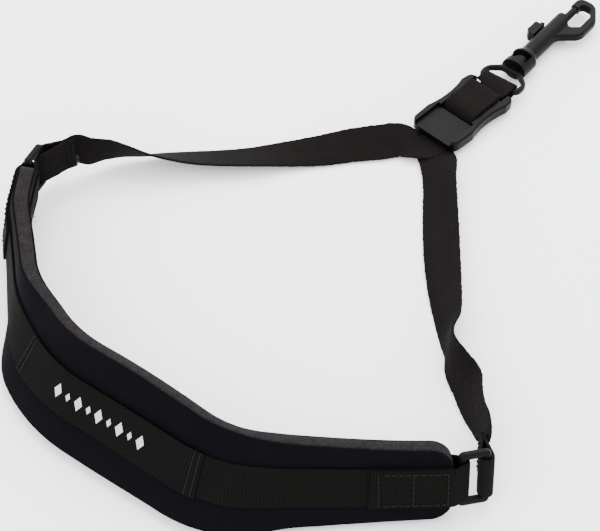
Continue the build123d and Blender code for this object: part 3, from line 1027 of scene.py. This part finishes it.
@dataclass
class Webbing:
    """The long strap: both legs, the part in the slider and the loop at the hook."""

    wardrobe: Wardrobe
    strap: Strap = field(default_factory=Strap)
    slider: SliderFrame = field(default_factory=SliderFrame)
    layer: float = 0.68
    fray_count: int = 26
    left: tuple = (
        (-113, 42.5, 15.5, 94), (-105, 45, 14, 105), (-96, 46, 12, 118), (-86, 46, 9.5, 131),
        (-76, 46.5, 7.8, 142), (-64, 47, 6.2, 151), (-47, 48, 5, 157), (-31, 49.5, 4.4, 163),
        (-14, 53, 2.8, 175), (3, 55.4, 3, 188), (18, 57.8, 4.2, 197), (33, 59.2, 5.2, 203),
        (41.5, 61, 4.8, 200),
    )
    right: tuple = (
        (70.2, -123.5, 15.8, 100), (68.6, -115.5, 13.8, 104), (66.9, -105.5, 11.2, 115),
        (65.5, -93.5, 9, 127),
        (61.6, -84, 9, 116), (59, -74.5, 9.8, 97), (59.8, -60, 8.2, 119), (59.3, -38.5, 6.9, 139),
        (59.2, -19.5, 5.7, 150), (59.6, -2, 5.3, 153), (60.2, 16.5, 5.8, 149),
        (60.8, 31.5, 6.4, 146),
        (61.3, 43.5, 4.6, 160), (60.3, 53, 1.9, 178),
    )
    fold_in: tuple = ((18, -1.1), (12, -1.1), (6.7, -2.1), (2.7, -2.7))
    fold_out: tuple = ((2.7, 2.7), (6.7, 1.9), (12.2, 0.6), (20, 0.5))

    def keep(self, piece: bpy.types.Object, *nodes: str) -> None:
        """Hands in a strap piece that rides on no body."""
        self.wardrobe.hand_in(piece, WEBBING, "webbing", nodes)

    def leg(self, side: str, layer: float) -> None:
        """One leg, from its fold round the ring to the drop behind the slider's saddle.

        It is cut in the middle into two pieces, a ring end and a slider end.

        Args:
            side: left or right.
            layer: height of its layer from the middle of the pair in the slider.
        """
        ring = RingFrame(side == "right")
        bend = round_bar(0.0, 2.75, -95, -265, 9)
        into, out = np.array(self.fold_in, float), np.array(self.fold_out, float)
        spots = np.concatenate([into, bend, out])
        stations = np.array(getattr(self, side), float)
        middle = stations[:, :3]
        end = self.slider.place(self.slider.threaded(layer))
        points = np.concatenate([ring.fold(spots), middle, end])
        wide = np.concatenate([
            np.repeat(ring.up[None], len(spots), 0),
            leg_wide(middle, stations[:, 3]),
            np.repeat(self.slider.wide[None], len(end), 0),
        ])
        track = spline_track(points, wide, 0.7)
        cut = track.nearest(middle[6])
        seed = 41 if side == "left" else 51
        near = self.strap.build(f"{side}_leg_ring_end", track.cut(0, cut), seed)
        self.keep(near, f"{side}_fold_webbing")
        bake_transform(near)
        rest = track.cut(cut, len(track.along) - 1)
        far = self.strap.build(f"{side}_leg_slider_end", rest, seed)
        level = "upper" if layer > 0 else "lower"
        self.keep(far, f"{side}_leg_webbing", f"slider_{level}_webbing")
        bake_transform(far)

    def hook_loop(self) -> None:
        """The loop round the ring's bar: from one layer's drop, round, to the other's."""
        hook = HOOK
        upper = self.slider.place(self.slider.threaded(self.layer)[-1:] + [[0.35, -0.5]])
        lower = self.slider.place(self.slider.threaded(-self.layer)[-1:] + [[0.35, -0.9]])
        radius = hook.loop_radius + 0.65
        bar = round_bar(hook.bar, radius, 90, -90, 11)
        bar = np.concatenate([[[-6.6, 3.0], [-4.5, 3.1]], bar, [[-4.5, -3.1], [-6.6, -3.0]]])
        points = np.concatenate([upper, hook.place(bar), lower])
        sides = np.repeat(hook.wide[None], len(bar), 0)
        wide = np.concatenate([self.slider.wide[None], sides, self.slider.wide[None]])
        piece = self.strap.build("hook_loop_strap", spline_track(points, wide, 0.4), 61)
        self.keep(piece, "hook_loop_webbing")
        start = self.slider.place(np.array([[41.0, 6.0]]))[0]
        end = self.slider.place(np.array([[45.5, 6.0]]))[0]
        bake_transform(piece)

    def build(self) -> None:
        """Builds the legs and the loop."""
        self.leg("left", self.layer)
        self.leg("right", -self.layer)
        self.hook_loop()
        self.fold_stitching()
        self.fray()

    def fold_stitching(self) -> None:
        """Rows of thread across each fold."""
        shape, faces = stitch_shape(*STITCH)
        ups = np.arange(-8.0, 8.5, 2.4)
        for side in ("right", "left"):
            ring = RingFrame(side == "right")
            rows = ring.fold(np.array([[16.5, -1.9], [14.0, -1.9]]))
            origin = (rows[:, None] + ups[:, None] * ring.up).reshape(-1, 3)
            axes = np.stack([-ring.beside, np.cross(ring.up, -ring.beside), ring.up])
            axes = np.repeat(axes[None], len(origin), 0)
            piece = scatter(f"{side}_fold_thread", shape, faces, origin, axes)
            nodes = (f"{side}_fold_stitching",)
            self.wardrobe.hand_in(piece, THREAD, "thread", nodes, f"{side}_ring")


    def fray(self) -> None:
        """Warp ends fanned out where the left fold's tail was cut."""
        ring = RingFrame(False)
        count = self.fray_count
        random = np.random.default_rng(73)
        tail = np.column_stack([np.full(count, 18.3), random.uniform(-1.5, -0.7, count)])
        origin = ring.fold(tail) + random.uniform(-9.3, -3.0, (count, 1)) * ring.up
        leave = np.repeat(ring.leave[None], count, 0)
        axes = loose_axes(random, leave, 0.28, ring.up, (0.5, 1.5))
        shape, faces = stitch_shape(2.4, 0.28, 0.15)
        piece = scatter("left_fold_fray", shape, faces, origin, axes)
        self.wardrobe.hand_in(piece, FRAY, "thread", (), "left_ring")


# --- hardware


@dataclass
class HookFrame:
    """The snap hook's own directions."""

    at: tuple = (97.0, 102.1, 6.5)
    heading: float = 51.5
    bar: float = -2.0
    loop_radius: float = 2.45

    def __post_init__(self) -> None:
        """Works out its directions."""
        self.ahead = compass(self.heading)
        self.left = compass(self.heading + 90)
        self.wide = -self.left
        self.origin = np.array(self.at)

    def place(self, spots: Array) -> Array:
        """Points from pairs of distance along the axis and height over it."""
        return self.origin + spots[:, :1] * self.ahead + spots[:, 1:] * UP


HOOK = HookFrame()


@dataclass
class Hardware:
    """Moulded and metal pieces that keep their CAD shapes."""

    wardrobe: Wardrobe
    moulded: tuple = (
        "left_ring", "right_ring", "slider_frame", "swivel_ring", "hook_body", "thumb_bolt",
    )

    def build(self) -> None:
        """Dresses the CAD nodes."""
        for node in self.moulded:
            self.wardrobe.redress(node, ACETAL)
            log.info("%s dressed", node)
        self.wardrobe.redress("bolt_spring", WIRE)


# --- studio


@dataclass
class Studio:
    """Pale floor, soft light and the camera."""

    target: tuple = (-8.5, -18.5, 0.0)
    distance: float = 745.0
    elevation: float = 50.0
    focal: float = 1555.0
    frame_width: float = 600.0
    floor_half: float = 3000.0
    room_light: float = 4.0
    softboxes: tuple = (
        ("key_softbox", (0.3, 0.9, 1.6), 1.6, 55.0),
        ("fill_softbox", (-1.2, -0.9, 1.3), 1.4, 20.0),
    )
    sensor: float = 36.0

    def camera(self) -> None:
        """Camera on the line of sight at its elevation, looking at the target."""
        rise = math.radians(self.elevation)
        data = bpy.data.cameras.new("camera")
        data.sensor_width = self.sensor
        data.lens = self.focal / self.frame_width * self.sensor
        data.clip_start, data.clip_end = 0.05, 20.0
        camera = bpy.data.objects.new("camera", data)
        target = Vector(self.target) * MM
        toward = Vector((0, -math.cos(rise), math.sin(rise)))
        camera.location = target + toward * self.distance * MM
        camera.rotation_euler = (math.radians(90 - self.elevation), 0, 0)
        bpy.context.scene.collection.objects.link(camera)
        bpy.context.scene.camera = camera

    def floor(self) -> None:
        """Wide pale sheet under the strap."""
        corners = np.array([[-1, -1, 0], [1, -1, 0], [1, 1, 0], [-1, 1, 0]]) * self.floor_half
        piece = make_object("studio_floor", corners, [[0, 1, 2, 3]])
        material = bpy.data.materials.new("studio_paper")
        material.use_nodes = True
        shader = material.node_tree.nodes["Principled BSDF"]
        shader.inputs["Base Color"].default_value = srgb("#ECECEC")
        shader.inputs["Roughness"].default_value = 0.95
        shader.inputs["Specular IOR Level"].default_value = 0.1
        piece.data.materials.append(material)

    def lights(self) -> None:
        """Soft box from above and behind, fill from the front, and an even pale room."""
        world = bpy.data.worlds.new("studio_room")
        world.use_nodes = True
        room = world.node_tree.nodes["Background"]
        room.inputs[0].default_value = srgb("#F4F4F4")
        room.inputs[1].default_value = self.room_light
        bpy.context.scene.world = world
        for name, place, size, power in self.softboxes:
            data = bpy.data.lights.new(name, "AREA")
            data.size, data.energy = size, power
            light = bpy.data.objects.new(name, data)
            light.location = place
            light.rotation_euler = (-Vector(place)).to_track_quat("-Z", "Y").to_euler()
            bpy.context.scene.collection.objects.link(light)

    def build(self) -> None:
        """Sets up the studio."""
        self.camera()
        self.floor()
        self.lights()


def main() -> None:
    """Builds the studio, then the strap from pad to hook."""
    logging.basicConfig(level=logging.INFO, format="%(message)s")
    wardrobe = Wardrobe()
    Studio().build()
    NeckPad(wardrobe).build()
    Webbing(wardrobe).build()
    Hardware(wardrobe).build()


if __name__ == "__main__":
    main()
